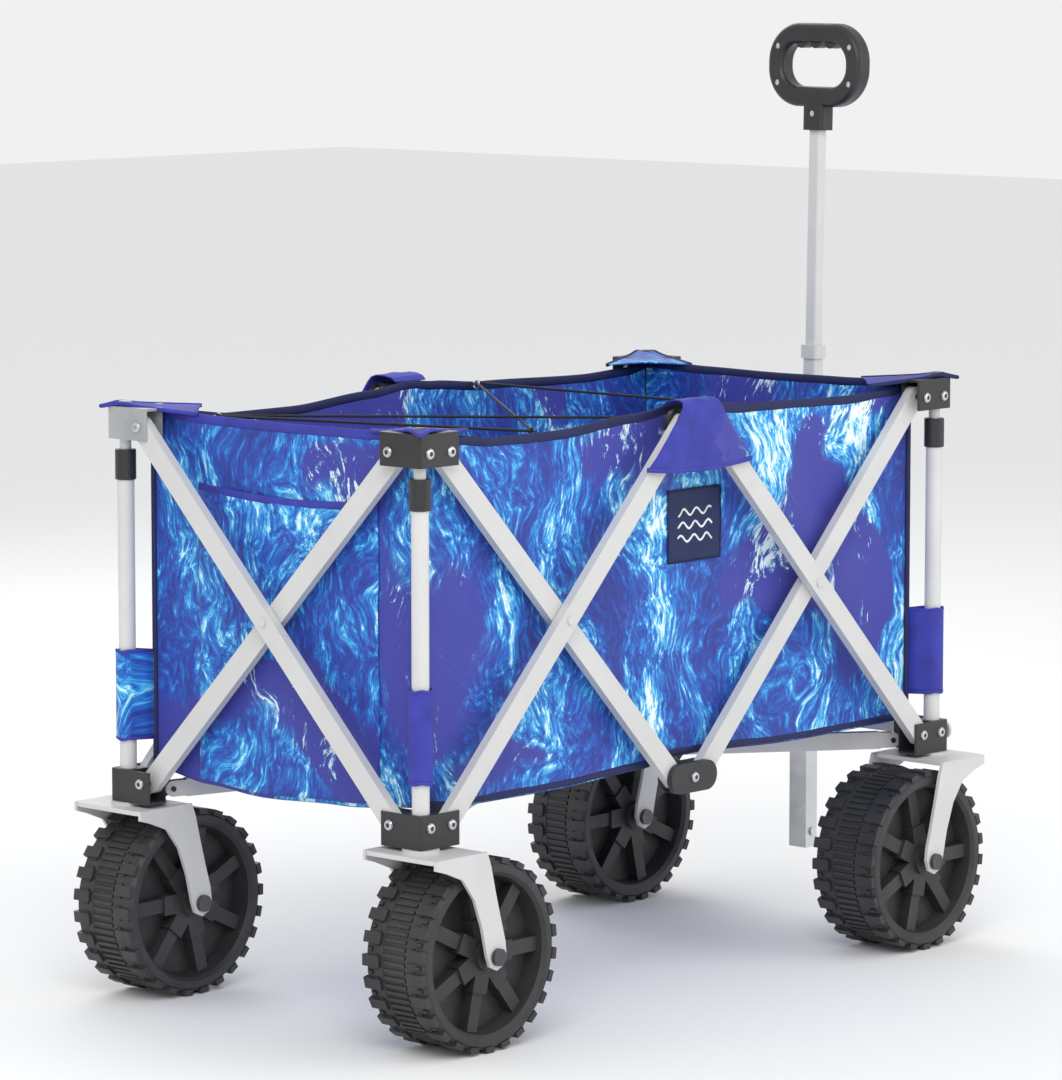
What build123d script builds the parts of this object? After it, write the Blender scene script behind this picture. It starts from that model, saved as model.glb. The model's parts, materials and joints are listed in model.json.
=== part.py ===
# Folding fabric beach cart on four wide wheels. Millimetres, +Z up, ground at z = 0.
# +X is the tow-handle end, -Y is the near long side.
from build123d import *
from math import sin, cos, atan2, radians, degrees, hypot, pi
import os

os.makedirs("parts", exist_ok=True)

# ---- driving dimensions ----
span = 384.0            # horizontal pivot-to-pivot span of every scissor bar, open
pivot_in = 33.0         # pivot offset from the post axis
mid_half = 22.0         # half the pivot spacing on the mid connectors
W = span + 2 * pivot_in
L = 2 * span + 2 * pivot_in + 2 * mid_half
z_low = 248.0           # lower pivots
z_high = 647.0          # upper pivots
bar_h = 24.0
bar_t = 10.8
bar_wall = 1.3
bar_mid = 5.8           # centre of each bar from the side plane
bolt_d = 6.0
run = 0.05              # running clearance on the radius
br_half = 14.0          # half width of the corner brackets
slot_half = 11.5
bb_z0, bb_z1 = 225.0, 262.0
tb_z0, tb_z1 = 632.0, 668.0
arm_out = 47.0
post_d = 19.0
post_wall = 1.2
post_top = 616.0
rod_d = 13.0
wheel_r = 106.0
wheel_w = 88.0
axle_z = 106.0
axle_off = 61.0
fork_half = 54.0
fork_t = 4.0
floor_piv = 34.0        # floor-arm pivot from the post axis, along X and along Y
floor_z = 238.0
floor_tilt = 2.0        # degrees
floor_len = 392.0
tow_z = 247.0
pole_x = L / 2 + 38.6
x_shift = 13.49          # moves the whole cart so that the origin is under the middle of its box
pole_piv_z = 97.0
pole_lean = 1.2         # degrees, forward
pole_o = 18.5
pole_i = 15.4
grip_w, grip_h, grip_t = 142.0, 100.0, 26.0
grip_top = 1077.0

bar_len = hypot(span, z_high - z_low)
rest_angle = degrees(atan2(z_high - z_low, span))


def B(x0, x1, y0, y1, z0, z1):
    return Pos((x0 + x1) / 2, (y0 + y1) / 2, (z0 + z1) / 2) * Box(abs(x1 - x0), abs(y1 - y0), abs(z1 - z0))


def C(axis, at, r, h0, h1):
    """Cylinder of radius r along an axis from h0 to h1; at gives the other two coordinates."""
    c = Cylinder(r, abs(h1 - h0))
    m = (h0 + h1) / 2
    if axis == "x":
        return Pos(m, at[0], at[1]) * Rot(0, 90, 0) * c
    if axis == "y":
        return Pos(at[0], m, at[1]) * Rot(90, 0, 0) * c
    return Pos(at[0], at[1], m) * c


def rounded(shape, axis, r):
    try:
        return fillet(shape.edges().filter_by(axis), r)
    except Exception:
        return shape


def solids(*items):
    out = []
    for i in items:
        if isinstance(i, (list, tuple)):
            out += solids(*i)
        else:
            out += list(i.solids())
    return out


def save(name, *items):
    ss = [Pos(-x_shift, 0, 0) * q for q in solids(*items)]
    shape = ss[0] if len(ss) == 1 else Compound(children=ss)
    export_step(shape, "parts/" + name + ".step")


def mirrored(items, sx, sy):
    """Mirror shapes built for the (-X, -Y) corner into another corner."""
    out = []
    for i in solids(items):
        s = i
        if sx > 0:
            s = s.mirror(Plane.YZ)
        if sy > 0:
            s = s.mirror(Plane.XZ)
        out.append(s)
    return out


corners = {"rear_left": (-1, 1), "rear_right": (-1, -1), "front_right": (1, -1), "front_left": (1, 1)}
X0, Y0 = -L / 2, -W / 2    # post axis of the corner that the masters are built on

# ---------------- lower corner bracket, built at the (-X, -Y) corner ----------------
def bolt_head(axis, at, face, out, r=5.6, t=2.2):
    """Low round head with a hex recess standing on a face, out is +1 or -1."""
    h = C(axis, at, r, face, face + out * t)
    return h


def bracket(z0, z1, zp, low):
    s = B(X0 - br_half, X0 + br_half, Y0 - br_half, Y0 + br_half, z0, z1)
    s += B(X0, X0 + arm_out, Y0 - br_half, Y0 + br_half, z0, z1)
    s += B(X0 - br_half, X0 + br_half, Y0, Y0 + arm_out, z0, z1)
    s = rounded(s, Axis.Z, 3.0)
    web = 3.0
    a, b = (z0 + web, z1 + 5) if low else (z0 - 5, z1 - web)
    s -= B(X0 + 15.5, X0 + arm_out + 5, Y0 - slot_half, Y0 + slot_half, a, b)
    s -= B(X0 - slot_half, X0 + slot_half, Y0 + 15.5, Y0 + arm_out + 5, a, b)
    s -= C("y", (X0 + pivot_in, zp), bolt_d / 2, Y0 - 20, Y0 + 20)
    s -= C("x", (Y0 + pivot_in, zp), bolt_d / 2, X0 - 20, X0 + 20)
    return s


def pivot_bolts(zp):
    bx = C("y", (X0 + pivot_in, zp), bolt_d / 2, Y0 - br_half, Y0 + 17)
    bx += bolt_head("y", (X0 + pivot_in, zp), Y0 - br_half, -1)
    bx += C("y", (X0 + pivot_in, zp), 4.8, Y0 + br_half, Y0 + 17.5)
    by = C("x", (Y0 + pivot_in, zp), bolt_d / 2, X0 - br_half, X0 + 17)
    by += bolt_head("x", (Y0 + pivot_in, zp), X0 - br_half, -1)
    by += C("x", (Y0 + pivot_in, zp), 4.8, X0 + br_half, X0 + 17.5)
    return [bx, by]


arm_dir = atan2(W / 2 - floor_piv, L / 2 - floor_piv)   # heading of the floor arms
lug_c = (X0 + floor_piv, Y0 + floor_piv)


def low_bracket(sx, sy):
    s = bracket(bb_z0, bb_z1, z_low, True)
    # lug for the floor arm
    lug = Pos(lug_c[0], lug_c[1], floor_z) * Rot(0, 0, degrees(arm_dir)) * (
        B(-34, 0, -3, 3, -7.5, 7.5) + C("y", (0, 0), 7.5, -3, 3))
    keep = B(X0 + 12.5, X0 + 90, Y0 + 12.5, Y0 + 90, bb_z0, bb_z1)
    s += lug & keep
    # stiffener joining the lug to both arms' inner walls
    s += B(X0 + 12.5, X0 + 20, Y0 + 12.5, Y0 + 20, floor_z - 7.5, floor_z + 7.5)
    s -= C("z", (X0, Y0), post_d / 2, bb_z0 + 4, bb_z1 + 1)
    s -= C("z", (X0, Y0), 6.0 + run, bb_z0 - 1, bb_z0 + 5)
    s -= C("y", (X0, z_low), 2.5, Y0 - 20, Y0 - 9)
    pin = Pos(lug_c[0], lug_c[1], floor_z) * Rot(0, 0, degrees(arm_dir)) * C("y", (0, 0), 3.0, -7.6, 7.6)
    s -= pin
    core = C("y", (X0, z_low), 2.5, Y0 - br_half, Y0 - post_d / 2) + bolt_head("y", (X0, z_low), Y0 - br_half, -1)
    extra = []
    if sx > 0:
        # pin that carries a tow link on the outer end face (mirrored, so it is built at -X)
        reach = 26.4 if sy < 0 else 21.4
        s -= C("x", (Y0, tow_z), 4.0, X0 - 20, X0 - 11)
        p = C("x", (Y0, tow_z), 4.0, X0 - 11, X0 - reach)
        if sy < 0:
            p += C("x", (Y0, tow_z), 7.0, X0 - br_half, X0 - 21.1)
        else:
            p += C("x", (Y0, tow_z), 7.0, X0 - br_half, X0 - 16.5)
        p += C("x", (Y0, tow_z), 6.5, X0 - reach + 0.6, X0 - reach - 1.8)
        extra.append(p)
    return mirrored([s, pivot_bolts(z_low), core, pin, extra], sx, sy)


def post(sx, sy):
    t = C("z", (X0, Y0), post_d / 2, bb_z0 + 4, post_top) - C("z", (X0, Y0), post_d / 2 - post_wall, bb_z0, post_top + 1)
    col = C("z", (X0, Y0), 11.8, 586, 620)
    col = fillet(col.edges(), 1.2)
    col -= C("z", (X0, Y0), post_d / 2, 580, post_top)
    col -= C("z", (X0, Y0), rod_d / 2 + run, 600, 625)
    return mirrored([t, col], sx, sy)


def top_bracket(sx, sy):
    s = bracket(tb_z0, tb_z1, z_high, False)
    s -= C("z", (X0, Y0), rod_d / 2, tb_z0 - 1, tb_z1 - 8)
    s -= C("y", (X0, z_high), 2.5, Y0 - 20, Y0 - rod_d / 2)
    core = C("y", (X0, z_high), 2.5, Y0 - br_half, Y0 - rod_d / 2) + bolt_head("y", (X0, z_high), Y0 - br_half, -1)
    rod = C("z", (X0, Y0), rod_d / 2, 400, tb_z1 - 8)
    rod -= C("z", (X0, Y0), rod_d / 2 - 1.5, 399, tb_z1 - 12)
    knob = C("z", (X0, Y0), 9.0, tb_z1, tb_z1 + 6)
    knob = fillet(knob.edges().group_by(Axis.Z)[-1], 4.0)
    return mirrored([s, pivot_bolts(z_high), core, rod, knob], sx, sy)


# ---------------- forks, wheels, axles ----------------
def fork(sx, sy):
    ztop = bb_z0 if sx < 0 else bb_z0 - 0.4
    plate = B(-34, 44, -fork_half, fork_half, 216.5, 221.5)
    plate = rounded(plate, Axis.Z, 10)
    prof = [(-33, 221.5), (46, 221.5), (52, 205), (58, 180), (66, 150), (74, 122), (75.5, 108), (71, 96),
            (61, 91), (50, 96), (45.5, 108), (38, 140), (26, 172), (8, 196), (-16, 206), (-33, 211)]
    leg = None
    with BuildPart() as lp:
        with BuildSketch(Plane.XZ):
            with BuildLine():
                Polyline(*prof, close=True)
            make_face()
        extrude(amount=fork_t)
    leg = lp.part
    legs = Pos(0, fork_half, 0) * leg                       # y from fork_half - t to fork_half
    legs2 = Pos(0, -fork_half + fork_t, 0) * leg
    s = plate + legs + legs2
    s -= B(-60, 100, -fork_half + fork_t, fork_half - fork_t, 60, 216.5)
    s += C("z", (0, 0), 20, 221.5, ztop) + C("z", (0, 0), 6.0, 218, 240)
    s -= C("y", (axle_off, axle_z), 5.0, -70, 70)
    s = Pos(X0, Y0, 0) * s
    return mirrored([s], sx, sy)


def axle(sx, sy):
    a = C("y", (axle_off, axle_z), 5.0, -fork_half - 2, fork_half + 2)
    a += C("y", (axle_off, axle_z), 9.5, fork_half, fork_half + 5)
    a += C("y", (axle_off, axle_z), 9.5, -fork_half - 5, -fork_half)
    a += C("y", (axle_off, axle_z), 7.5, 45.5, fork_half - fork_t)
    a += C("y", (axle_off, axle_z), 7.5, -fork_half + fork_t, -45.5)
    return mirrored([Pos(X0, Y0, 0) * a], sx, sy)


def wheel_master():
    """Wheel about the Y axis, centred on the origin."""
    hw = wheel_w / 2
    prof = [(5.0 + run, -41), (17, -41), (17, -20), (82, -20), (86, -hw + 4), (90, -hw), (98, -hw), (102, -hw + 4),
            (103, -17), (101.5, -16), (101.5, 16), (103, 17), (102, hw - 4), (98, hw), (90, hw), (86, hw - 4),
            (82, 20), (17, 20), (17, 41), (5.0 + run, 41)]
    with BuildPart() as p:
        with BuildSketch(Plane.XY):
            with BuildLine():
                Polyline(*prof, close=True)
            make_face()
        revolve(axis=Axis.Y)
    s = p.part
    n = 7
    spokes = []
    for k in range(n):
        for side in (-1, 1):
            y0, y1 = (side * 20, side * 34)
            sp = B(14, 84, min(y0, y1), max(y0, y1), -8, 8)
            # tapered: wider at the hub
            sp += B(14, 42, min(y0, side * 37), max(y0, side * 37), -11, 11)
            spokes.append(Rot(0, 360 / n * k, 0) * sp)
    for sp in spokes:
        s += sp
    s -= C("y", (0, 0), 5.0 + run, -60, 60)
    # blow-moulded: the web and the rim are hollow
    s -= C("y", (0, 0), 79, -17, 17) - C("y", (0, 0), 22, -20, 20)
    s -= C("y", (0, 0), 97.5, -38, 38) - C("y", (0, 0), 87, -50, 50)
    m = 26
    lugs = []
    for k in range(m):
        lugs.append(Rot(0, 360 / m * k, 0) * B(99.5, wheel_r, 20, hw, -6.2, 6.2))
        lugs.append(Rot(0, 360 / m * (k + 0.5), 0) * B(99.5, wheel_r, -hw, -20, -6.2, 6.2))
    s = s.fuse(*lugs)
    return s


wheel = wheel_master()

# ---------------- scissor bars ----------------
def bar_master():
    """Bar along +X from its first pivot at the origin, thickness along Y, centred on y = 0."""
    s = B(0, bar_len, -bar_t / 2, bar_t / 2, -bar_h / 2, bar_h / 2)
    s += C("y", (0, 0), bar_h / 2, -bar_t / 2, bar_t / 2) + C("y", (bar_len, 0), bar_h / 2, -bar_t / 2, bar_t / 2)
    w = bar_wall
    for a, b in ((18, bar_len / 2 - 14), (bar_len / 2 + 14, bar_len - 18)):
        s -= B(a, b, -bar_t / 2 + w, bar_t / 2 - w, -bar_h / 2 + w, bar_h / 2 - w)
    for x in (0, bar_len / 2, bar_len):
        s -= C("y", (x, 0), bolt_d / 2 + run, -20, 20)
    return s


bar = bar_master()


def bar_side(x_start, rising, y_plane, outward, outer):
    """Bar in a long side. x_start: first pivot; rising: True from low to high going +X; outward: -1 or +1 in Y."""
    y = y_plane + outward * (bar_mid if outer else -bar_mid)
    if rising:
        b = Pos(x_start, y, z_low) * Rot(0, -rest_angle, 0) * bar
    else:
        b = Pos(x_start, y, z_high) * Rot(0, rest_angle, 0) * bar
    out = [b]
    if outer:
        xm, zm = x_start + span / 2, (z_low + z_high) / 2
        f = y_plane + outward * (bar_mid + bar_t / 2)
        g = y_plane - outward * (bar_mid + bar_t / 2)
        out[0] = b - C("y", (xm, zm), bolt_d / 2, y_plane - 30, y_plane + 30)
        rv = C("y", (xm, zm), bolt_d / 2, f, g - outward * 1.6)
        rv += C("y", (xm, zm), 5.0, f, f + outward * 2.0)
        rv += C("y", (xm, zm), 5.0, g - outward * 0.4, g - outward * 2.2)
        out.append(rv)
    return out


def bar_end(y_start, rising, x_plane, outward, outer):
    x = x_plane + outward * (bar_mid if outer else -bar_mid)
    base = Rot(0, 0, 90) * bar                      # along +Y, thickness along X
    if rising:
        b = Pos(x, y_start, z_low) * Rot(rest_angle, 0, 0) * base
    else:
        b = Pos(x, y_start, z_high) * Rot(-rest_angle, 0, 0) * base
    out = [b]
    if outer:
        ym, zm = y_start + span / 2, (z_low + z_high) / 2
        f = x_plane + outward * (bar_mid + bar_t / 2)
        g = x_plane - outward * (bar_mid + bar_t / 2)
        out[0] = b - C("x", (ym, zm), bolt_d / 2, x_plane - 30, x_plane + 30)
        rv = C("x", (ym, zm), bolt_d / 2, f, g - outward * 1.6)
        rv += C("x", (ym, zm), 5.0, f, f + outward * 2.0)
        rv += C("x", (ym, zm), 5.0, g - outward * 0.4, g - outward * 2.2)
        out.append(rv)
    return out


# ---------------- mid connectors, built on the near side (outward is -Y) ----------------
def mid(low, sy):
    yp = -W / 2
    z = z_low if low else z_high
    sgn = 1 if low else -1
    if low:
        ya, yb, yc, yd = yp - 7.0, yp + 0.1, yp + slot_half, yp + br_half
    else:
        ya, yb, yc, yd = yp - br_half, yp - slot_half, yp - 0.1, yp + 6.0
    def plate(y0, y1):
        r = 17.0
        p = B(-mid_half, mid_half, y0, y1, z - r, z + r)
        return p + C("y", (-mid_half, z), r, y0, y1) + C("y", (mid_half, z), r, y0, y1)
    s = plate(ya, yb) + plate(yc, yd)
    s += B(-7, 7, ya, yd, z - 14, z + 14)
    s += B(-24, 24, ya, yd, z - sgn * 17, z - sgn * 14)
    pins = []
    for x in (-mid_half, mid_half):
        s -= C("y", (x, z), bolt_d / 2, ya + 2, yd + 5)
        pins.append(C("y", (x, z), bolt_d / 2, ya + 2, yd))
    s -= C("y", (0, z), 2.5, ya - 1, yd - 2)
    head = C("y", (0, z), 2.5, ya, yd - 2) + C("y", (0, z), 5.6, ya, ya - 2.2)
    items = [s, pins, head]
    return mirrored(items, -1, sy)


# ---------------- floor arms and hub ----------------
def floor_arm(sx, sy):
    w = 1.5
    t = B(16, floor_len, -6, 6, -10, 10) + C("y", (floor_len, 0), 10, -6, 6)
    t -= B(10, floor_len - 14, -6 + w, 6 - w, -10 + w, 10 - w)
    for y0 in (-6, 6 - w):
        t += B(0, 20, y0, y0 + w, -9, 9) + C("y", (0, 0), 9, y0, y0 + w)
    t -= C("y", (0, 0), 3.0 + run, -10, 10)
    if sx < 0 and sy > 0:
        t -= B(floor_len - 13, floor_len + 12, -3.4, 3.4, -12, 12)
    t -= C("y", (floor_len, 0), 3.0 + run, -10, 10)
    t = Pos(lug_c[0], lug_c[1], floor_z) * Rot(0, 0, degrees(arm_dir)) * Rot(0, -floor_tilt, 0) * t
    return mirrored([t], sx, sy)


def hub():
    tip_r = floor_len * cos(radians(floor_tilt))
    tz = floor_z + floor_len * sin(radians(floor_tilt))
    tx = lug_c[0] + tip_r * cos(arm_dir)
    ty = -(lug_c[1] + tip_r * sin(arm_dir))       # on the rear-left arm
    d = C("z", (0, 0), 50, tz + 10.6, tz + 14.6)
    a = Pos(tx, ty, tz) * Rot(0, 0, -degrees(arm_dir))
    tab = a * B(-7, 14, -8, 8, 10.6, 14.6)
    d = d + tab + tab.mirror(Plane.YZ) + tab.mirror(Plane.XZ) + tab.mirror(Plane.YZ).mirror(Plane.XZ)
    lug = a * (B(-6, 6, -3, 3, 0, 11.5) + C("y", (0, 0), 6, -3, 3))
    s = d + lug
    pin = a * C("y", (0, 0), 3.0, -6.8, 6.8)
    s -= pin
    return [s, pin]


# ---------------- tow links, handle base, pole, grip ----------------
def tow_link(side):
    """side -1: from the front right corner, +1: from the front left corner."""
    x0, x1 = (L / 2 + 21.4, L / 2 + 25.4) if side < 0 else (L / 2 + 16.8, L / 2 + 20.8)
    y0 = side * W / 2
    s = B(x0, x1, min(y0, 0), max(y0, 0), tow_z - 11, tow_z + 11)
    s += C("x", (y0, tow_z), 11, x0, x1) + C("x", (0, tow_z), 11, x0, x1)
    s -= C("x", (y0, tow_z), 4.0 + run, x0 - 5, x1 + 5)
    s -= C("x", (0, tow_z), 4.0 + run, x0 - 5, x1 + 5)
    return [s]


def handle_base():
    xw = L / 2 + 26
    s = B(xw, xw + 2.5, -13, 13, 78, 282)
    s += B(xw, xw + 21, -13, -10.5, 78, 282) + B(xw, xw + 21, 10.5, 13, 78, 282)
    s -= C("y", (pole_x, pole_piv_z), 3.0, -30, 30)
    pin = C("x", (0, tow_z), 4.0, xw, L / 2 + 21.4)
    s -= C("x", (0, tow_z), 4.0, xw - 5, xw + 10)
    pin += C("x", (0, tow_z), 4.0, xw - 1, xw + 2.5)
    bolt = C("y", (pole_x, pole_piv_z), 3.0, -13, 13) + C("y", (pole_x, pole_piv_z), 5.5, -13, -15.2) + C("y", (pole_x, pole_piv_z), 5.5, 13, 16)
    return [s, pin, bolt]


lean = Pos(pole_x, 0, pole_piv_z) * Rot(0, pole_lean, 0)


def rbox(w, z0, z1, r):
    b = B(-w / 2, w / 2, -w / 2, w / 2, z0, z1)
    return fillet(b.edges().filter_by(Axis.Z), r)


def outer_pole():
    top = 690 - pole_piv_z
    s = rbox(pole_o, 0, top - 4, 3.0)
    s += C("y", (0, 0), pole_o / 2, -pole_o / 2, pole_o / 2)
    s -= rbox(pole_o - 2.4, 14, top + 5, 2.0)
    s -= C("y", (0, 0), 3.0 + run, -20, 20)
    col = rbox(pole_o + 5, top - 16, top, 4.0)
    col -= rbox(pole_o, top - 17, top - 4, 3.0)
    col -= rbox(pole_i + 0.5, top - 5, top + 1, 2.2)
    return [lean * s, lean * col]


def inner_pole():
    s = rbox(pole_i, 430 - pole_piv_z, 958 - pole_piv_z, 2.4)
    s -= rbox(pole_i - 2.4, 420 - pole_piv_z, 970 - pole_piv_z, 1.4)
    return [lean * s]


def grip_shape():
    zc = grip_top - grip_h / 2
    with BuildPart() as p:
        with BuildSketch(Plane.YZ):
            with Locations((0, zc - pole_piv_z)):
                RectangleRounded(grip_w, grip_h, 46)
                RectangleRounded(grip_w - 46, grip_h - 48, 24, mode=Mode.SUBTRACT)
        extrude(amount=grip_t / 2, both=True)
    s = p.part
    try:
        s = fillet(s.edges().filter_by(Plane.YZ).group_by(Axis.X)[0] + s.edges().filter_by(Plane.YZ).group_by(Axis.X)[-1], 7.0)
    except Exception:
        pass
    zi = zc - pole_piv_z + (grip_h - 48) / 2
    for y in (-22, 0, 22):
        s += Pos(0, y, zi + 3) * Rot(0, 90, 0) * Cylinder(9, grip_t - 10)
    # neck down to the pole
    zb = zc - grip_h / 2 - pole_piv_z
    neck = Pos(0, 0, (zb + 8 + 949 - pole_piv_z) / 2) * Box(grip_t - 0.5, 32, abs(zb + 8 - (949 - pole_piv_z)))
    neck = fillet(neck.edges().filter_by(Axis.Z), 7)
    s += neck
    s -= rbox(pole_i, 940 - pole_piv_z, 958 - pole_piv_z, 2.4)
    return s


def grip_parts():
    s = grip_shape()
    zc = grip_top - grip_h / 2 - pole_piv_z
    spots = [(-55, zc + 22), (55, zc + 22), (-55, zc - 22), (55, zc - 22), (0, zc - grip_h / 2 - 8)]
    screws = []
    for y, z in spots:
        sc = C("x", (y, z), 2.0, 2.0, grip_t / 2 - 3) + C("x", (y, z), 3.6, grip_t / 2 - 3, grip_t / 2 - 1)
        hole = C("x", (y, z), 2.0, 2.0, grip_t / 2 - 3) + C("x", (y, z), 3.6, grip_t / 2 - 3, grip_t / 2 + 3)
        s -= hole
        screws.append(sc)
    front = s & B(0, 40, -120, 120, 0, 1200)
    rear = s & B(-40, 0, -120, 120, 0, 1200)
    flip = lambda x: x.mirror(Plane.YZ)
    # screw heads face the rear, toward the cart
    return lean * flip(front), lean * flip(rear), [lean * flip(q) for q in screws]


# ---------------- fabric solids ----------------
bag_x = L / 2 - 24
bag_y = W / 2 - 21
bag_z0 = 270.0
bag_z1 = 670.0
ft = 2.0


def liner():
    fl = B(-bag_x + ft, bag_x - ft, -bag_y + ft, bag_y - ft, bag_z0, bag_z0 + ft)
    near = B(-bag_x, bag_x, -bag_y, -bag_y + ft, bag_z0, bag_z1)
    far = B(-bag_x, bag_x, bag_y - ft, bag_y, bag_z0, bag_z1)
    rear = B(-bag_x, -bag_x + ft, -bag_y + ft, bag_y - ft, bag_z0, bag_z1)
    front = B(bag_x - ft, bag_x, -bag_y + ft, bag_y - ft, bag_z0, bag_z1)
    return [fl, near, far, rear, front]


def cap(sy):
    """Fabric cap over the upper mid connector."""
    yp = -W / 2
    with BuildPart() as p:
        with BuildSketch(Plane.XZ):
            with BuildLine():
                Polyline((-86, 598), (86, 598), (28, 668), (-28, 668), close=True)
            make_face()
        extrude(amount=2.0)
    face = Pos(0, yp - 17.4, 0) * p.part
    top = B(-28, 28, yp - 19.4, yp + 8, 668, 670)
    return mirrored([face + top], -1, sy)


def cord():
    r = 1.6
    rear_hook, far_hook = (-bag_x + ft + 4, 109, 662), (104, bag_y - ft - 4, 658)
    near_a, near_b, near_c = (-232, -bag_y + ft + 4, 653), (-69, -bag_y + ft + 4, 656), (119, -bag_y + ft + 4, 656)
    out = []

    def seg(a, b):
        va, vb = Vector(*a), Vector(*b)
        d = (vb - va).normalized()
        va, vb = va + d * 3, vb - d * 3
        return Plane(origin=va, z_dir=d) * Pos(0, 0, (vb - va).length / 2) * Cylinder(r, (vb - va).length)
    out += [seg(rear_hook, near_a), seg(near_a, far_hook), seg(far_hook, near_c), seg(near_b, rear_hook)]
    return out


# ---------------- write every node ----------------
for name, (sx, sy) in corners.items():
    save("corner_bracket_low_" + name, low_bracket(sx, sy))
    save("corner_post_" + name, post(sx, sy))
    save("corner_bracket_top_" + name, top_bracket(sx, sy))
    save("wheel_fork_" + name, fork(sx, sy))
    save("axle_bolt_" + name, axle(sx, sy))
    save("wheel_" + name, Pos(sx * (L / 2 - axle_off), sy * W / 2, axle_z) * (wheel if sy < 0 else Rot(0, 0, 180) * wheel))
    save("floor_arm_" + name, floor_arm(sx, sy))

xr = -L / 2 + pivot_in
xm = mid_half
for side, sy in (("right", -1), ("left", 1)):
    yp = sy * W / 2
    save("side_bar_outer_rear_" + side, bar_side(xr, True, yp, sy, True))
    save("side_bar_inner_rear_" + side, bar_side(xr, False, yp, sy, False))
    save("side_bar_inner_front_" + side, bar_side(xm, True, yp, sy, False))
    save("side_bar_outer_front_" + side, bar_side(xm, False, yp, sy, True))
    save("mid_connector_low_" + side, mid(True, sy))
    save("mid_connector_top_" + side, mid(False, sy))
    save("fabric_cap_" + side, cap(sy))

ys = -W / 2 + pivot_in
save("end_bar_outer_rear", bar_end(ys, True, -L / 2, -1, True))
save("end_bar_inner_rear", bar_end(ys, False, -L / 2, -1, False))
save("end_bar_outer_front", bar_end(ys, True, L / 2, 1, True))
save("end_bar_inner_front", bar_end(ys, False, L / 2, 1, False))

save("floor_hub_plate", hub())
save("tow_link_right", tow_link(-1))
save("tow_link_left", tow_link(1))
save("handle_base_channel", handle_base())
save("handle_pole_outer", outer_pole())
save("handle_pole_inner", inner_pole())
gf, gr, gs = grip_parts()
save("handle_grip_shell_rear", gf)
save("handle_grip_shell_front", gr)
save("handle_grip_screws", gs)
save("fabric_bag", liner())
save("top_cord", cord())
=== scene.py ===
import json
import math
import random

import bpy
from mathutils import Matrix, Vector, noise

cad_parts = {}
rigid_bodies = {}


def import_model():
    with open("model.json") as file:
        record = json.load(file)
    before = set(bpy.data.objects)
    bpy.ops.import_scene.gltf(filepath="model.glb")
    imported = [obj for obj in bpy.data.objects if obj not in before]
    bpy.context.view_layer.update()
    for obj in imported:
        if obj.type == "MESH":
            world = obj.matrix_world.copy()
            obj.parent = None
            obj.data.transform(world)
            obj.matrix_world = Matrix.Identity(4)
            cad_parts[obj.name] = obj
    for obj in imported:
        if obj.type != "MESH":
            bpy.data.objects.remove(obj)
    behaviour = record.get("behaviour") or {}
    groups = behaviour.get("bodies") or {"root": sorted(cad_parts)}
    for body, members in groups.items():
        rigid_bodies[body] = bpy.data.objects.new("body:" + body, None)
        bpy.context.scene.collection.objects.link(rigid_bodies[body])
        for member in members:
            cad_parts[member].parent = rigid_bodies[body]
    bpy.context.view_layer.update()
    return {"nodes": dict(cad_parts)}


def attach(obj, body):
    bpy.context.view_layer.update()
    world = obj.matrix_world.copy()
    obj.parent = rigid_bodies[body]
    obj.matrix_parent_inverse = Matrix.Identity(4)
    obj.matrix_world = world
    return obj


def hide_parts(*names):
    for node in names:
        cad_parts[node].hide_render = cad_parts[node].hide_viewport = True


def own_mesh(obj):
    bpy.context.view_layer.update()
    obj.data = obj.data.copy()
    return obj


for o in list(bpy.data.objects):
    bpy.data.objects.remove(o)
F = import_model()
random.seed(7)

# ---- dimensions, mm, centred on the four posts, ground at 0 ----
SH = 13.49
L, W = 878.0, 450.0
BX, BY = L / 2 - 24, W / 2 - 21
ZL, ZH = 248.0, 647.0


def P(x, y, z):
    return Vector(((x - SH) / 1000, y / 1000, z / 1000))


# ---------------------------------------------------------------- materials
class Mat:
    def __init__(self, name):
        self.m = bpy.data.materials.new(name)
        self.m.use_nodes = True
        self.t = self.m.node_tree
        self.b = self.t.nodes["Principled BSDF"]

    def n(self, kind, **kw):
        x = self.t.nodes.new(kind)
        for k, v in kw.items():
            setattr(x, k, v)
        return x

    def link(self, a, b):
        self.t.links.new(a, b)

    def set(self, **kw):
        for k, v in kw.items():
            self.b.inputs[k.replace("_", " ")].default_value = v
        return self

    def noise(self, scale, detail=4.0, rough=0.5, vec=None, dist=0.0):
        x = self.n("ShaderNodeTexNoise")
        x.inputs["Scale"].default_value = scale
        x.inputs["Detail"].default_value = detail
        x.inputs["Roughness"].default_value = rough
        x.inputs["Distortion"].default_value = dist
        if vec is not None:
            self.link(vec, x.inputs["Vector"])
        return x

    def ramp(self, fac, stops, mode="LINEAR"):
        r = self.n("ShaderNodeValToRGB")
        r.color_ramp.interpolation = mode
        e = r.color_ramp.elements
        while len(e) < len(stops):
            e.new(0.5)
        for el, (pos, col) in zip(e, stops):
            el.position = pos
            el.color = (*col, 1) if len(col) == 3 else col
        self.link(fac, r.inputs["Fac"])
        return r

    def bump(self, height, strength, distance=0.001):
        b = self.n("ShaderNodeBump")
        b.inputs["Strength"].default_value = strength
        b.inputs["Distance"].default_value = distance
        self.link(height, b.inputs["Height"])
        self.link(b.outputs["Normal"], self.b.inputs["Normal"])
        return b


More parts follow.
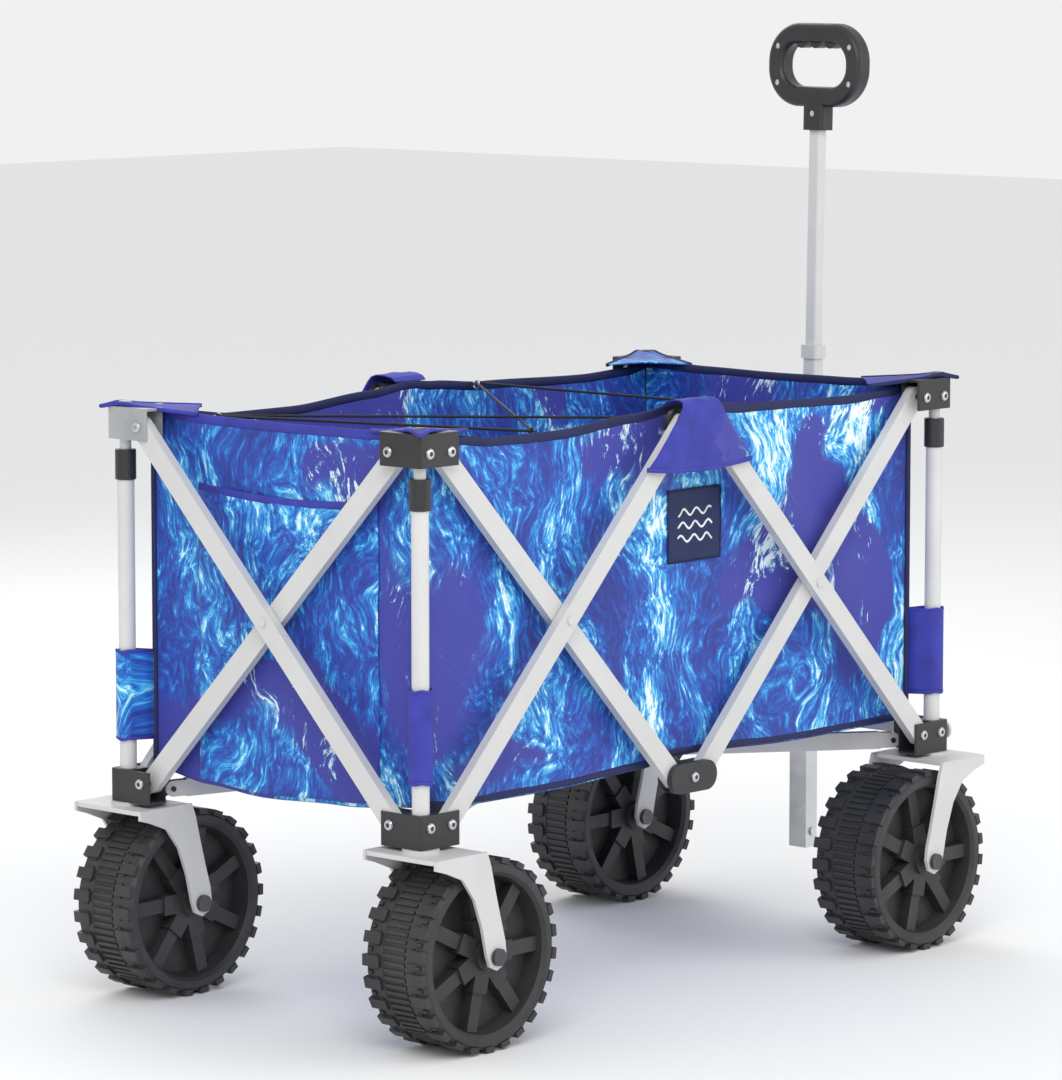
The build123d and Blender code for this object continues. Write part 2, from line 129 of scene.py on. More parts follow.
def coated(name, base, lo, hi, rough0, rough1, fine, strength, metallic=0.0, scale=14.0):
    """A finish with broad tone variation, uneven roughness and fine grain."""
    m = Mat(name)
    tc = m.n("ShaderNodeTexCoord").outputs["Object"]
    big = m.noise(scale, 5, 0.55, tc)
    c = m.ramp(big.outputs["Fac"], [(0.3, [x * lo for x in base]), (0.7, [min(1, x * hi) for x in base])])
    m.link(c.outputs["Color"], m.b.inputs["Base Color"])
    r = m.ramp(m.noise(scale * 3, 6, 0.6, tc).outputs["Fac"], [(0.3, (rough0,) * 3), (0.7, (rough1,) * 3)])
    m.link(r.outputs["Color"], m.b.inputs["Roughness"])
    m.set(Metallic=metallic)
    m.bump(m.noise(fine, 3, 0.6, tc).outputs["Fac"], strength, 0.0006)
    return m.m


PAINT = coated("frame_paint", (0.60, 0.60, 0.595), 0.95, 1.04, 0.34, 0.46, 900, 0.10)
BLACK = coated("bracket_black", (0.022, 0.022, 0.024), 0.8, 1.3, 0.36, 0.52, 1200, 0.18)
TYRE = coated("wheel_black", (0.026, 0.026, 0.028), 0.75, 1.4, 0.42, 0.62, 700, 0.25)
GRIP = coated("grip_black", (0.018, 0.018, 0.020), 0.8, 1.3, 0.30, 0.44, 1500, 0.15)
STEEL = coated("zinc_steel", (0.60, 0.61, 0.63), 0.92, 1.05, 0.24, 0.38, 1400, 0.08, 1.0)
DARK = coated("dark_steel", (0.10, 0.10, 0.11), 0.8, 1.3, 0.30, 0.45, 1400, 0.10, 0.9)
CORD = coated("cord_black", (0.012, 0.012, 0.014), 0.8, 1.3, 0.6, 0.8, 2500, 0.4)


def weave(m, uv, strength=0.25):
    w1 = m.n("ShaderNodeTexWave", wave_type="BANDS", bands_direction="X")
    w2 = m.n("ShaderNodeTexWave", wave_type="BANDS", bands_direction="Y")
    for w in (w1, w2):
        w.inputs["Scale"].default_value = 300
        w.inputs["Distortion"].default_value = 1.0
        m.link(uv, w.inputs["Vector"])
    mx = m.n("ShaderNodeMath", operation="ADD")
    m.link(w1.outputs["Fac"], mx.inputs[0])
    m.link(w2.outputs["Fac"], mx.inputs[1])
    m.bump(mx.outputs[0], strength, 0.0003)


def ocean():
    """Printed woven polyester: breaking water, foam streaks and plain blue-violet areas."""
    m = Mat("ocean_print")
    uv = m.n("ShaderNodeUVMap", uv_map="UVMap").outputs["UV"]
    # warp the cloth coordinates so that the streaks curl
    warp = m.noise(4.2, 3, 0.5, uv)
    sub = m.n("ShaderNodeVectorMath", operation="SUBTRACT")
    m.link(warp.outputs["Color"], sub.inputs[0])
    sub.inputs[1].default_value = (0.5, 0.5, 0.5)
    sc = m.n("ShaderNodeVectorMath", operation="SCALE")
    m.link(sub.outputs[0], sc.inputs[0])
    sc.inputs["Scale"].default_value = 0.26
    add = m.n("ShaderNodeVectorMath", operation="ADD")
    m.link(uv, add.inputs[0])
    m.link(sc.outputs[0], add.inputs[1])
    mp = m.n("ShaderNodeMapping")
    mp.inputs["Rotation"].default_value = (0, 0, math.radians(24))
    mp.inputs["Scale"].default_value = (3.0, 1.15, 1)
    m.link(add.outputs[0], mp.inputs["Vector"])
    body = m.noise(4.2, 9, 0.68, mp.outputs[0])
    # long fine foam strokes
    mp2 = m.n("ShaderNodeMapping")
    mp2.inputs["Rotation"].default_value = (0, 0, math.radians(24))
    mp2.inputs["Scale"].default_value = (1.0, 0.20, 1)
    m.link(add.outputs[0], mp2.inputs["Vector"])
    strokes = m.noise(150, 7, 0.72, mp2.outputs[0])
    s1 = m.n("ShaderNodeMapRange")
    s1.inputs["From Min"].default_value = 0.30
    s1.inputs["From Max"].default_value = 0.70
    s1.inputs["To Min"].default_value = -0.15
    s1.inputs["To Max"].default_value = 0.16
    m.link(strokes.outputs["Fac"], s1.inputs["Value"])
    tot = m.n("ShaderNodeMath", operation="ADD")
    m.link(body.outputs["Fac"], tot.inputs[0])
    m.link(s1.outputs[0], tot.inputs[1])
    c = m.ramp(tot.outputs[0], [
        (0.34, (0.008, 0.022, 0.24)), (0.45, (0.006, 0.050, 0.38)), (0.525, (0.006, 0.14, 0.56)),
        (0.575, (0.025, 0.36, 0.78)), (0.62, (0.20, 0.66, 0.90)), (0.665, (0.84, 0.94, 0.98))])
    plain = m.noise(3.3, 2, 0.45, add.outputs[0], 0.4)
    mk = m.ramp(plain.outputs["Fac"], [(0.525, (0, 0, 0)), (0.555, (1, 1, 1))])
    # the strokes spill into the plain areas at their edges
    mk2 = m.n("ShaderNodeMath", operation="SUBTRACT", use_clamp=True)
    m.link(mk.outputs["Color"], mk2.inputs[0])
    sp = m.ramp(tot.outputs[0], [(0.60, (0, 0, 0)), (0.66, (0.9, 0.9, 0.9))])
    m.link(sp.outputs["Color"], mk2.inputs[1])
    mix = m.n("ShaderNodeMix", data_type="RGBA")
    m.link(mk2.outputs[0], mix.inputs["Factor"])
    m.link(c.outputs["Color"], mix.inputs["A"])
    mix.inputs["B"].default_value = (0.030, 0.036, 0.33, 1)
    m.link(mix.outputs["Result"], m.b.inputs["Base Color"])
    m.set(Roughness=0.62)
    m.b.inputs["Sheen Weight"].default_value = 0.15
    weave(m, uv)
    return m.m


def plain_cloth(name, col, rough=0.7):
    m = Mat(name)
    uv = m.n("ShaderNodeTexCoord").outputs["Object"]
    r = m.ramp(m.noise(40, 4, 0.5, uv).outputs["Fac"], [(0.3, [x * 0.8 for x in col]), (0.7, [x * 1.2 for x in col])])
    m.link(r.outputs["Color"], m.b.inputs["Base Color"])
    m.set(Roughness=rough)
    m.bump(m.noise(1800, 2, 0.5, uv).outputs["Fac"], 0.3, 0.0004)
    return m.m


PRINT = ocean()
NAVY = plain_cloth("navy_binding", (0.006, 0.010, 0.075))
VIOLET = plain_cloth("blue_violet_cloth", (0.030, 0.036, 0.33))
PATCH = plain_cloth("patch_navy", (0.004, 0.014, 0.075))
THREAD = plain_cloth("thread_white", (0.80, 0.82, 0.85))

# the posts carry a black moulded collar near the top, where the thin rod enters
POST = Mat("post_paint_and_collar")
_oc = POST.n("ShaderNodeTexCoord").outputs["Object"]
_sp = POST.n("ShaderNodeSeparateXYZ")
POST.link(_oc, _sp.inputs[0])
_lo = POST.n("ShaderNodeMath", operation="GREATER_THAN")
_lo.inputs[1].default_value = 0.5859
_hi = POST.n("ShaderNodeMath", operation="LESS_THAN")
_hi.inputs[1].default_value = 0.6203
POST.link(_sp.outputs[2], _lo.inputs[0])
POST.link(_sp.outputs[2], _hi.inputs[0])
_mk = POST.n("ShaderNodeMath", operation="MULTIPLY")
POST.link(_lo.outputs[0], _mk.inputs[0])
POST.link(_hi.outputs[0], _mk.inputs[1])
_pt = POST.ramp(POST.noise(14, 5, 0.55, _oc).outputs["Fac"], [(0.3, (0.60, 0.60, 0.595)), (0.7, (0.66, 0.66, 0.655))])
_mx = POST.n("ShaderNodeMix", data_type="RGBA")
POST.link(_mk.outputs[0], _mx.inputs["Factor"])
POST.link(_pt.outputs["Color"], _mx.inputs["A"])
_mx.inputs["B"].default_value = (0.020, 0.020, 0.022, 1)
POST.link(_mx.outputs["Result"], POST.b.inputs["Base Color"])
_rg = POST.ramp(POST.noise(42, 6, 0.6, _oc).outputs["Fac"], [(0.3, (0.34,) * 3), (0.7, (0.46,) * 3)])
POST.link(_rg.outputs["Color"], POST.b.inputs["Roughness"])
POST.bump(POST.noise(900, 3, 0.6, _oc).outputs["Fac"], 0.10, 0.0006)


def rod_below(name, base):
    """An upper bracket's moulding, with the painted steel rod that hangs below it."""
    m = Mat(name)
    tc = m.n("ShaderNodeTexCoord").outputs["Object"]
    sp = m.n("ShaderNodeSeparateXYZ")
    m.link(tc, sp.inputs[0])
    g = m.n("ShaderNodeMath", operation="GREATER_THAN")
    g.inputs[1].default_value = 0.6315
    m.link(sp.outputs[2], g.inputs[0])
    c = m.ramp(m.noise(14, 5, 0.55, tc).outputs["Fac"], [(0.3, [x * 0.8 for x in base]), (0.7, [x * 1.25 for x in base])])
    mx = m.n("ShaderNodeMix", data_type="RGBA")
    m.link(g.outputs[0], mx.inputs["Factor"])
    mx.inputs["A"].default_value = (0.60, 0.60, 0.595, 1)
    m.link(c.outputs["Color"], mx.inputs["B"])
    m.link(mx.outputs["Result"], m.b.inputs["Base Color"])
    r = m.ramp(m.noise(42, 6, 0.6, tc).outputs["Fac"], [(0.3, (0.34,) * 3), (0.7, (0.50,) * 3)])
    m.link(r.outputs["Color"], m.b.inputs["Roughness"])
    m.bump(m.noise(1200, 3, 0.6, tc).outputs["Fac"], 0.16, 0.0006)
    return m.m


TOPB = rod_below("upper_bracket_black", (0.022, 0.022, 0.024))
TOPG = rod_below("upper_bracket_grey", (0.30, 0.31, 0.32))

for name, o in F["nodes"].items():
    if name == "corner_bracket_top_rear_left":
        mt = TOPG
    elif name.startswith("corner_bracket_top"):
        mt = TOPB
    elif name.startswith("corner_post"):
        mt = POST.m
    elif name.startswith(("corner_bracket", "mid_connector")):
        mt = BLACK
    elif name.startswith("wheel_fork"):
        mt = PAINT
    elif name.startswith("wheel_"):
        mt = TYRE
    elif name.startswith("axle"):
        mt = DARK
    elif name.startswith("handle_grip_screws") or name == "handle_base_channel":
        mt = STEEL
    elif name.startswith("handle_grip"):
        mt = GRIP
    else:
        mt = PAINT
    o.data.materials.clear()
    o.data.materials.append(mt)

# ---------------------------------------------------------------- mesh helpers
def obj(name, verts, faces, mat, uv=None, smooth=True):
    me = bpy.data.meshes.new(name)
    me.from_pydata([tuple(v) for v in verts], [], faces)
    me.update()
    if uv is not None:
        lay = me.uv_layers.new(name="UVMap")
        for lp in me.loops:
            lay.data[lp.index].uv = uv[lp.vertex_index]
    me.materials.append(mat)
    if smooth:
        me.polygons.foreach_set("use_smooth", [True] * len(me.polygons))
    o = bpy.data.objects.new(name, me)
    bpy.context.scene.collection.objects.link(o)
    return o


def grid(name, fn, nu, nv, mat, thick=0.0012):
    """fn(u, v) gives (point, uv) for u and v from 0 to 1."""
    vs, uvs, fs = [], [], []
    for j in range(nv + 1):
        for i in range(nu + 1):
            p, q = fn(i / nu, j / nv)
            vs.append(p)
            uvs.append(q)
    for j in range(nv):
        for i in range(nu):
            a = j * (nu + 1) + i
            fs.append((a, a + 1, a + nu + 2, a + nu + 1))
    o = obj(name, vs, fs, mat, uvs)
    if thick:
        md = o.modifiers.new("thick", "SOLIDIFY")
        md.thickness = thick
        md.offset = 0
    return o


def tube(name, pts, ra, rb, mat, seg=10, up=Vector((0, 0, 1)), closed=False):
    """Tube of half width ra sideways and rb along up."""
    vs, fs = [], []
    n = len(pts)
    for i, p in enumerate(pts):
        a = pts[(i - 1) % n] if closed or i else pts[0]
        b = pts[(i + 1) % n] if closed or i < n - 1 else pts[-1]
        d = (b - a).normalized()
        s = d.cross(up)
        s = s.normalized() if s.length > 1e-4 else Vector((1, 0, 0))
        u = s.cross(d).normalized()
        for k in range(seg):
            t = 2 * math.pi * k / seg
            vs.append(p + s * (ra * math.cos(t)) + u * (rb * math.sin(t)))
    for i in range(n if closed else n - 1):
        for k in range(seg):
            a, b = i * seg + k, i * seg + (k + 1) % seg
            c, d = ((i + 1) % n) * seg + (k + 1) % seg, ((i + 1) % n) * seg + k
            fs.append((a, b, c, d))
    if not closed:
        fs.append(tuple(range(seg))[::-1])
        fs.append(tuple((n - 1) * seg + k for k in range(seg)))
    return obj(name, vs, fs, mat)


def interp(table, x):
    if x <= table[0][0]:
        return table[0][1]
    for (a, p), (b, q) in zip(table, table[1:]):
        if x <= b:
            t = (x - a) / (b - a)
            t = t * t * (3 - 2 * t)
            return p + (q - p) * t
    return table[-1][1]


def fbm(x, y, s, seed):
    return noise.fractal(Vector((x * s, y * s, seed)), 1.0, 2.0, 4)


# ---------------------------------------------------------------- the bag
TOP_SIDE = [(-415, 664), (-360, 656), (-298, 650), (-202, 650), (-70, 659), (0, 666), (33, 663), (120, 657), (300, 653), (380, 656), (415, 662)]
BOT_SIDE = [(-415, 262), (-374, 258), (-197, 257), (-60, 262), (0, 270), (22, 270), (217, 263), (384, 264), (415, 266)]
TOP_END = [(-204, 664), (-100, 661), (0, 660), (100, 661), (204, 664)]
BOT_END = [(-204, 262), (-84, 252), (38, 247), (120, 252), (204, 262)]


def side_point(x, t, sy):
    """A point on a long wall: x along, t from 0 at the bottom to 1 at the rim."""
    zb, zt = interp(BOT_SIDE, x), interp(TOP_SIDE, x)
    z = zb + (zt - zb) * t
    edge = min(1.0, (BX - abs(x)) / 70) * math.sin(math.pi * min(1, max(0, t))) ** 0.5
    d = 3.0 * fbm(x, z, 0.008, 3.1 + sy) + 1.6 * fbm(x * 0.6 + z * 0.5, z * 0.25, 0.03, 9.0 + sy)
    # pull lines down from the corners and the middle
    d += 1.3 * edge * math.sin((abs(x) * 0.9 + z) / 26.0) * math.exp(-((t - 0.75) ** 2) / 0.06)
    y = BY - 0.5 + max(-5.0, min(5.0, d * edge)) + (1 - t) * -1.0
    return x, sy * y, z


def end_point(y, t, sx):
    zb, zt = interp(BOT_END, y), interp(TOP_END, y)
    z = zb + (zt - zb) * t
    edge = min(1.0, (BY - abs(y)) / 60) * math.sin(math.pi * min(1, max(0, t))) ** 0.5
    d = 3.0 * fbm(y, z, 0.009, 15.1 + sx) + 1.8 * fbm(y * 0.5 + z * 0.4, z * 0.3, 0.03, 21.0 + sx)
    x = BX - 0.5 + max(-5.0, min(5.0, d * edge)) - 5 * edge * 0.3
    return sx * x, y, z


def sq_side(o, side):
    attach(o, "mid_top_" + side)
    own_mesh(o)
    return o


def sq_end(o, body):
    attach(o, body)
    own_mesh(o)
    return o


for side, sy in (("right", -1), ("left", 1)):
    def fn(u, v, sy=sy):
        x = -BX + 2 * BX * u
        return P(*side_point(x, v, sy)), ((x + 415) / 1000 * (1 if sy < 0 else -1) + (0 if sy < 0 else 2.1), interp(BOT_SIDE, x) / 1000 + 0.4 * v)
    w = grid("bag_wall_" + side, fn, 150, 72, PRINT)
    sq_side(w, side)
    xs = [-BX + 2 * BX * i / 120 for i in range(121)]
    rim = tube("rim_binding_" + side, [P(*side_point(x, 1, sy)) + Vector((0, 0, -0.0035)) for x in xs], 0.0019, 0.0055, NAVY)
    hem = tube("bottom_binding_" + side, [P(*side_point(x, 0, sy)) + Vector((0, 0, 0.003)) for x in xs], 0.0019, 0.0048, NAVY)
    sq_side(rim, side)
    sq_side(hem, side)

for end, sx in (("rear", -1), ("front", 1)):
    def fn(u, v, sx=sx):
        y = -BY + 2 * BY * u
        return P(*end_point(y, v, sx)), ((y + 204) / 1000 * (1 if sx > 0 else -1) + (0.83 if sx > 0 else 0.0), interp(BOT_END, y) / 1000 + 0.4 * v)
    w = grid("bag_wall_" + end, fn, 90, 72, PRINT)
    body = "top_%s_right" % end
    sq_end(w, body)
    ys = [-BY + 2 * BY * i / 60 for i in range(61)]
    rim = tube("rim_binding_" + end, [P(*end_point(y, 1, sx)) + Vector((0, 0, -0.0035)) for y in ys], 0.0019, 0.0055, VIOLET if sx < 0 else NAVY)
    sq_end(rim, body)
    for sy in (-1, 1):
        pts = [P(sx * (BX + 0.5), sy * (BY + 0.5), 262 + (664 - 262) * i / 30) for i in range(31)]
        e = tube("corner_binding_%s_%s" % (end, "right" if sy < 0 else "left"), pts, 0.0034, 0.0034, NAVY, up=Vector((1, 0, 0)))
        sq_end(e, body)

# floor in three overlapping lengths
def floor_z(x, y):
    zs = interp(BOT_SIDE, x)
    ze = interp(BOT_END, y)
    ds, de = BY - abs(y), BX - abs(x)
    k = ds / (ds + de + 1e-6)
    e = zs * (1 - k) + ze * k
    t = min(1, min(ds, de) / 55)
    t = t * t * (3 - 2 * t)
    return e + (270.5 - e) * t + 1.2 * t * fbm(x, y, 0.012, 40)


for nm, x0, x1, how in (("rear", -BX, -120, "top_rear_right"), ("middle", -140, 140, "mid_top_right"), ("front", 120, BX, "top_front_right")):
    up = 0.6 if nm == "middle" else 0.0

    def fn(u, v, x0=x0, x1=x1, up=up):
        x, y = x0 + (x1 - x0) * u, -BY + 2 * BY * v
        return P(x, y, floor_z(x, y) + up), (x / 1000 + 3.4, y / 1000 + 1.3)
    o = grid("bag_floor_" + nm, fn, 50, 56, PRINT)
    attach(o, how)
    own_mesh(o)
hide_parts("fabric_bag")

# pocket on the rear end
def fn(u, v):
    y = -141 + 274 * u
    x, _, _ = end_point(y, v * 0.8, -1)
    zb, zt = interp(BOT_END, y) + 4, 586 - 7 * math.sin(math.pi * u)
    z = zb + (zt - zb) * v
    e = math.sin(math.pi * u) ** 0.6 * min(1, v * 4)
    return P(x - 2.0 - 2.4 * e - 0.8 * e * fbm(y, z, 0.02, 60), y, z), ((y + 204) / 1000 * -1 - 1.35, z / 1000 + 0.2)


pocket = grid("rear_pocket", fn, 60, 60, PRINT, 0.001)
sq_end(pocket, "top_rear_right")
phem = tube("rear_pocket_hem", [fn(i / 50, 1.0)[0] + Vector((0, 0, -0.003)) for i in range(51)], 0.0012, 0.0045, VIOLET)
sq_end(phem, "top_rear_right")

# ---------------------------------------------------------------- caps over the upper middle connectors
CAP = [(206, 667.0, 25), (212, 671.5, 26), (222, 673.6, 27), (234, 673.8, 28), (240.5, 671.5, 30), (243.6, 666, 33),
       (244.4, 654, 42), (244.6, 634, 58), (244.4, 614, 75), (243.6, 600, 88)]
for side, sy in (("right", -1), ("left", 1)):
    def fn(u, v, sy=sy):
        a = (u - 0.5) * 2                      # -1 .. 1 across
        t = (1 - v) * (len(CAP) - 1)           # from the rim over the connector to the hem
        i = min(int(t), len(CAP) - 2)
        k = t - i
        y, z, half = (CAP[i][q] * (1 - k) + CAP[i + 1][q] * k for q in range(3))
        d = 1 - v
        y += (1.4 * math.sin(a * 7.0 + 0.6) - 4.2 * abs(a) ** 4) * d * d
        z += -5.0 * (1 - a * a) * d * d + 1.6 * math.exp(-(a / 0.4) ** 2) * math.exp(-((d - 0.4) / 0.2) ** 2)
        return P(a * half - 3.0 * d, sy * y, z), (a * half / 1000 + 5.2, z / 1000 + 2.0)
    c = grid("cap_cloth_" + side, fn, 44, 54, VIOLET, 0.0014)
    c.data.materials.append(PRINT)
    for q in c.data.polygons:
        ctr = q.center
        e = 0.30 + 0.25 * noise.fractal(Vector((ctr.x * 45, ctr.z * 45, 4.0)), 1.0, 2.0, 3)
        if (ctr.x * 1000 + SH) / 88 > e and ctr.z < 0.655:
            q.material_index = 1
    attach(c, "mid_top_" + side)
    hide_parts("fabric_cap_" + side)
    h = tube("cap_hem_" + side, [fn(i / 40, 0.0)[0] + Vector((0, sy * 0.0006, 0.002)) for i in range(41)], 0.0013, 0.0028, VIOLET)
    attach(h, "mid_top_" + side)

# ---------------------------------------------------------------- corner flaps and post sleeves
for cname, (sx, sy) in {"rear_left": (-1, 1), "rear_right": (-1, -1), "front_right": (1, -1), "front_left": (1, 1)}.items():
    cx, cy = sx * L / 2, sy * W / 2
    tip = (cx + sx * 19, cy + sy * 19)
    pa = (cx - sx * 96, cy - sy * 22)
    pb = (cx - sx * 22, cy - sy * 92)

    def fn(u, v, tip=tip, pa=pa, pb=pb, cx=cx, cy=cy):
        x = tip[0] + v * ((pa[0] - tip[0]) * (1 - u) + (pb[0] - tip[0]) * u)
        y = tip[1] + v * ((pa[1] - tip[1]) * (1 - u) + (pb[1] - tip[1]) * u)
        r = math.hypot(x - cx, y - cy)
        z = 669.5 + 3.5 * math.exp(-(r / 15) ** 2) - 6.5 * max(0, v - 0.25) / 0.75 * (0.6 + 0.4 * abs(2 * u - 1)) - 2.0 * max(0, 0.15 - v) * 6
        return P(x, y, z), (x / 1000 + 7.0, y / 1000 + 3.0)
    f = grid("corner_flap_" + cname, fn, 26, 26, PRINT if cname == "front_left" else VIOLET, 0.0016)
    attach(f, "top_" + cname)
    ring = [fn(0, i / 20)[0] for i in range(20, -1, -1)] + [fn(1, i / 20)[0] for i in range(1, 21)]
    e = tube("corner_flap_edge_" + cname, ring, 0.0022, 0.0024, NAVY if sx > 0 else VIOLET)
    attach(e, "top_" + cname)

    # sleeve: a loop of cloth round the post, sewn to the bag's corner
    qx, qy = sx * (BX + 2), sy * (BY + 2)
    dx, dy = cx - qx, cy - qy
    dl = math.hypot(dx, dy)
    ux, uy = dx / dl, dy / dl
    ring2 = []
    rr = 12.6
    for k in range(25):
        a = -math.pi * 0.62 + 2 * math.pi * 0.62 * k / 24
        ring2.append((cx + rr * (ux * math.cos(a) - uy * math.sin(a)), cy + rr * (uy * math.cos(a) + ux * math.sin(a))))
    ring2 = [(qx - uy * 2.2, qy + ux * 2.2)] + ring2[::-1] + [(qx + uy * 2.2, qy - ux * 2.2)]

    def fn(u, v, ring2=ring2):
        t = u * (len(ring2) - 1)
        i = min(int(t), len(ring2) - 2)
        k = t - i
        x = ring2[i][0] * (1 - k) + ring2[i + 1][0] * k
        y = ring2[i][1] * (1 - k) + ring2[i + 1][1] * k
        return P(x, y, 296 + 98 * v + 0.8 * math.sin(u * 17)), (u * 0.09 + sx * 1.7 + 9, v * 0.1 + sy * 2.3)
    s = grid("post_sleeve_" + cname, fn, 60, 18, {"rear_left": PRINT, "rear_right": VIOLET, "front_right": VIOLET, "front_left": PRINT}[cname], 0.0012)
    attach(s, "top_" + cname)
    for hv, hn in ((0.0, "low"), (1.0, "high")):
        h = tube("sleeve_hem_%s_%s" % (hn, cname), [fn(i / 40, hv)[0] for i in range(41)], 0.0011, 0.002, VIOLET)
        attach(h, "top_" + cname)

# ---------------------------------------------------------------- patch with three plain wave lines
def fn(u, v):
    x, z = -17 + 92 * u, 488 + 82 * v
    px, py, pz = side_point(x, (z - 262) / 400, -1)
    return P(x, py - 1.6, z), (x / 1000, z / 1000)


patch = grid("side_patch", fn, 20, 18, PATCH, 0.0012)
sq_side(patch, "right")
for k in range(3):
    pts = []
    for i in range(49):
        u = 0.18 + 0.64 * i / 48
        v = 0.68 - 0.18 * k + 0.045 * math.sin(u * 26 + k * 0.9)
        pts.append(fn(u, v)[0] + Vector((0, -0.0008, 0)))
    wv = tube("patch_wave_%d" % k, pts, 0.0007, 0.0013, THREAD, 8)
    sq_side(wv, "right")
pe = [fn(0, i / 10)[0] for i in range(11)] + [fn(i / 10, 1)[0] for i in range(1, 11)] + [fn(1, 1 - i / 10)[0] for i in range(1, 11)] + [fn(1 - i / 10, 0)[0] for i in range(1, 10)]
st = tube("patch_stitching", [p + Vector((0, -0.0007, 0)) for p in pe], 0.0006, 0.0006, NAVY, 6, closed=True)
sq_side(st, "right")

# ---------------------------------------------------------------- elastic cords and their hooks
rear_hook, far_hook = (-BX + 6, 109, 662), (104, BY - 6, 658)
near_a, near_b, near_c = (-232, -BY + 6, 653), (-69, -BY + 6, 656), (119, -BY + 6, 656)


def strand(name, pts, replaced=False):
    line = []
    for a, b in zip(pts, pts[1:]):
        va, vb = P(*a), P(*b)
        line += [va.lerp(vb, i / 24) for i in range(24)]
    line.append(P(*pts[-1]))
    o = tube(name, line, 0.0016, 0.0016, CORD, 10)
    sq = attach(o, "top_rear_right")
    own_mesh(o)
    return o


c1 = strand("top_cord_long", [rear_hook, near_a, far_hook, near_c])
c2 = strand("top_cord_short", [(rear_hook[0], rear_hook[1] + 7, rear_hook[2]), near_b])
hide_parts("top_cord")
for nm, (x, y, z), dx, dy in (("rear", rear_hook, 1, 0), ("far", far_hook, 0, -1), ("near_a", near_a, 0, 1), ("near_b", near_b, 0, 1), ("near_c", near_c, 0, 1)):
    pts = []
    for i in range(25):
        a = math.pi * 1.7 * i / 24
        r = 5.0
        pts.append(P(x + dx * (r * math.sin(a)) + (dy * 0), y + dy * (r * math.sin(a)), z - 2 + r * math.cos(a)))
    h = tube("cord_hook_" + nm, pts, 0.0012, 0.0012, STEEL if nm in ("rear", "far") else CORD, 8, up=Vector((dy, dx, 0.01)))
    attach(h, "top_rear_right")
    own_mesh(h)

# ---------------------------------------------------------------- bolt heads
def disc_parts(name, centre, axis, specs, mat, seg=20):
    """specs: (radius, height) steps of a turned head standing on centre along axis."""
    ax = Vector(axis).normalized()
    s = ax.orthogonal().normalized()
    t = ax.cross(s)
    vs, fs = [], []
    for r, h in specs:
        for k in range(seg):
            a = 2 * math.pi * k / seg
            vs.append(centre + ax * h + (s * math.cos(a) + t * math.sin(a)) * r)
    for i in range(len(specs) - 1):
        for k in range(seg):
            fs.append((i * seg + k, i * seg + (k + 1) % seg, (i + 1) * seg + (k + 1) % seg, (i + 1) * seg + k))
    fs.append(tuple((len(specs) - 1) * seg + k for k in range(seg)))
    return vs, fs


def heads(name, body, items, mat, prof):
    V, Fc = [], []
    for c, a in items:
        vs, fs = disc_parts(name, c, a, prof, mat)
        n = len(V)
        V += vs
        Fc += [tuple(i + n for i in f) for f in fs]
    o = obj(name, V, Fc, mat, smooth=False)
    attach(o, body)
    return o


HEAD = [(6.0e-3, 0), (6.0e-3, 1.5e-3), (5.0e-3, 2.5e-3), (2.9e-3, 2.9e-3), (2.6e-3, 2.9e-3), (2.2e-3, 1.4e-3)]
for cname, (sx, sy) in {"rear_left": (-1, 1), "rear_right": (-1, -1), "front_right": (1, -1), "front_left": (1, 1)}.items():
    cx, cy = sx * L / 2, sy * W / 2
    for z, body, tag in ((ZL, "corner_" + cname, "low"), (ZH, "top_" + cname, "top")):
        items = [(P(cx - sx * 33, cy + sy * 14, z), (0, sy, 0)), (P(cx, cy + sy * 14, z), (0, sy, 0)), (P(cx + sx * 14, cy - sy * 33, z), (sx, 0, 0))]
        heads("bolt_heads_%s_%s" % (tag, cname), body, items, STEEL, HEAD)
for side, sy in (("right", -1), ("left", 1)):
    heads("bolt_head_mid_low_" + side, "mid_low_" + side, [(P(0, sy * (W / 2 + 7.0), ZL), (0, sy, 0))], STEEL, HEAD)

# ---------------------------------------------------------------- wheel tread detail
def tread():
    V, Fc = [], []

    def add(box8):
        n = len(V)
        V.extend(box8)
        for f in ((0, 1, 3, 2), (4, 6, 7, 5), (0, 4, 5, 1), (2, 3, 7, 6), (0, 2, 6, 4), (1, 5, 7, 3)):
            Fc.append(tuple(i + n for i in f))

    def block(ang, w0, w1, y0, y1, r0, r1):
        pts = []
        for w, r in ((w0, r0), (w1, r1)):
            for y in (y0, y1):
                for sgn in (-1, 1):
                    a = ang + sgn * w / r
                    pts.append(Vector((r * math.cos(a), y, r * math.sin(a))) / 1000)
        add(pts)
    for k in range(78):
        block(2 * math.pi * k / 78, 2.5, 1.9, -15.2, 15.2, 100.5, 103.6)
    for k in range(26):
        for side in (-1, 1):
            a = 2 * math.pi * (k + (0.5 if side > 0 else 0)) / 26
            for j, y in ((-0.18, 26), (0.18, 26), (0, 35)):
                b = a + j * 0.35
                block(b, 2.6, 1.6, side * y - 2.8, side * y + 2.8, 102.0, 104.4)
    return V, Fc


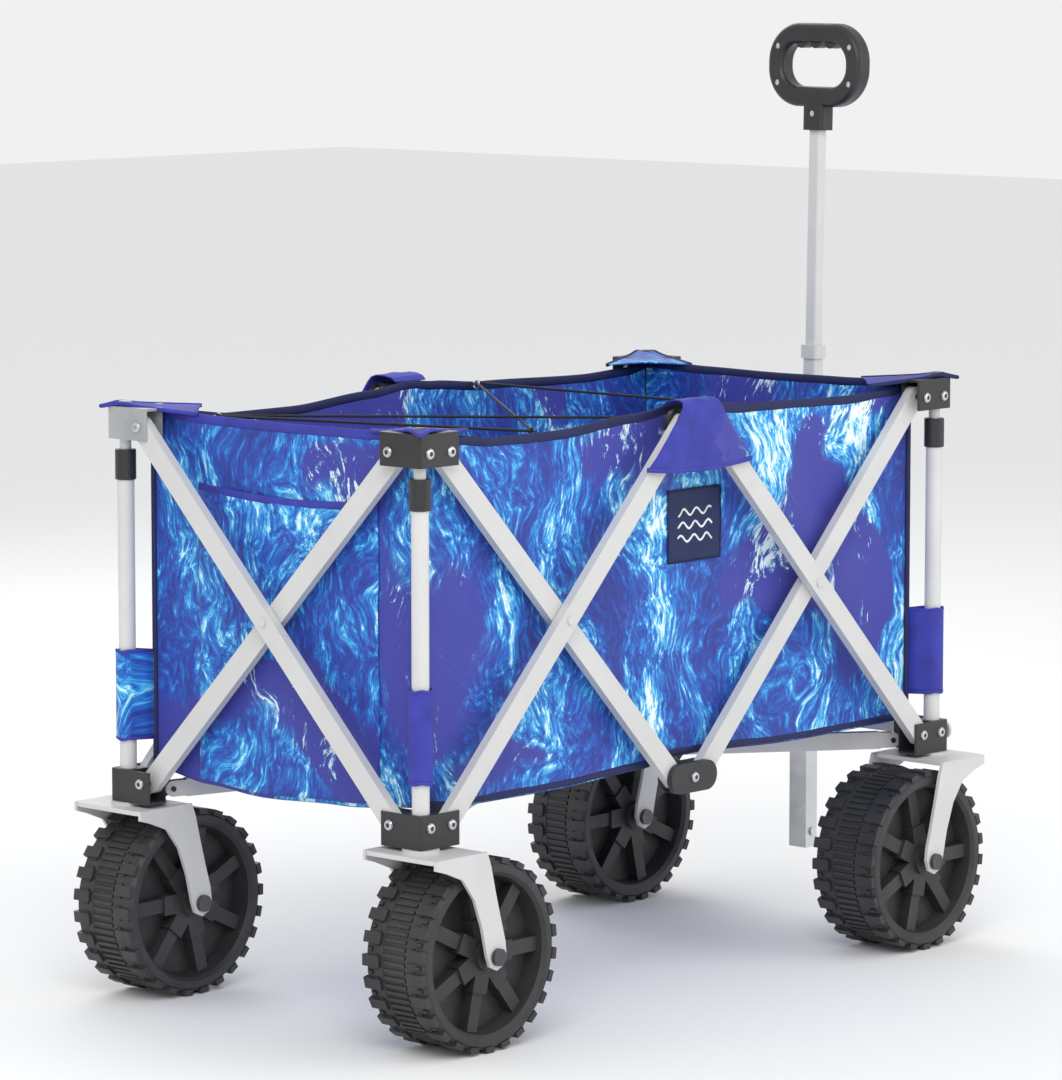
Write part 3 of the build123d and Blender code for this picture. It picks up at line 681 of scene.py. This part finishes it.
TV, TF = tread()
for cname, (sx, sy) in {"rear_left": (-1, 1), "rear_right": (-1, -1), "front_right": (1, -1), "front_left": (1, 1)}.items():
    c = P(sx * (L / 2 - 61), sy * W / 2, 106)
    o = obj("tread_detail_" + cname, [v + c for v in TV], TF, TYRE, smooth=False)
    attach(o, "wheel_" + cname)

# ---------------------------------------------------------------- stage, light, camera
fl = obj("stage_floor", [Vector((-14, -14, -0.0004)), Vector((14, -14, -0.0004)), Vector((14, 14, -0.0004)), Vector((-14, 14, -0.0004))], [(0, 1, 2, 3)], PAINT, smooth=False)
fm = Mat("stage_white")
fm.set(Base_Color=(0.86, 0.865, 0.87, 1), Roughness=0.9)
fl.data.materials.clear()
fl.data.materials.append(fm.m)

w = bpy.data.worlds.new("studio")
bpy.context.scene.world = w
w.use_nodes = True
w.node_tree.nodes["Background"].inputs["Color"].default_value = (1.0, 1.0, 1.0, 1)
w.node_tree.nodes["Background"].inputs["Strength"].default_value = 0.88


def area(name, loc, target, size, power):
    d = bpy.data.lights.new(name, "AREA")
    d.size = size
    d.energy = power
    o = bpy.data.objects.new(name, d)
    o.location = loc
    o.rotation_euler = (Vector(target) - Vector(loc)).to_track_quat("-Z", "Y").to_euler()
    bpy.context.scene.collection.objects.link(o)
    return o


area("key", (-2.6, -2.2, 2.9), (0, 0, 0.4), 2.2, 62)
area("fill", (1.8, -3.0, 1.6), (0, 0, 0.4), 2.4, 22)
area("back", (1.5, 2.6, 2.6), (0, 0, 0.5), 2.0, 30)

az, el = math.radians(47.7208), math.radians(6.98834)
d = Vector((-math.cos(el) * math.sin(az), -math.cos(el) * math.cos(az), math.sin(el)))
T = P(173.844 - L / 2, -W / 2, 277.263 + 262)
cam = bpy.data.cameras.new("camera")
cam.sensor_width = 36.0
cam.lens = 5290.55 * 36.0 / 1080.0
cam.clip_end = 100
co = bpy.data.objects.new("camera", cam)
co.location = T + d * 5.70768
co.rotation_euler = (-d).to_track_quat("-Z", "Y").to_euler()
bpy.context.scene.collection.objects.link(co)
bpy.context.scene.camera = co
bpy.context.scene.view_settings.view_transform = "Standard"
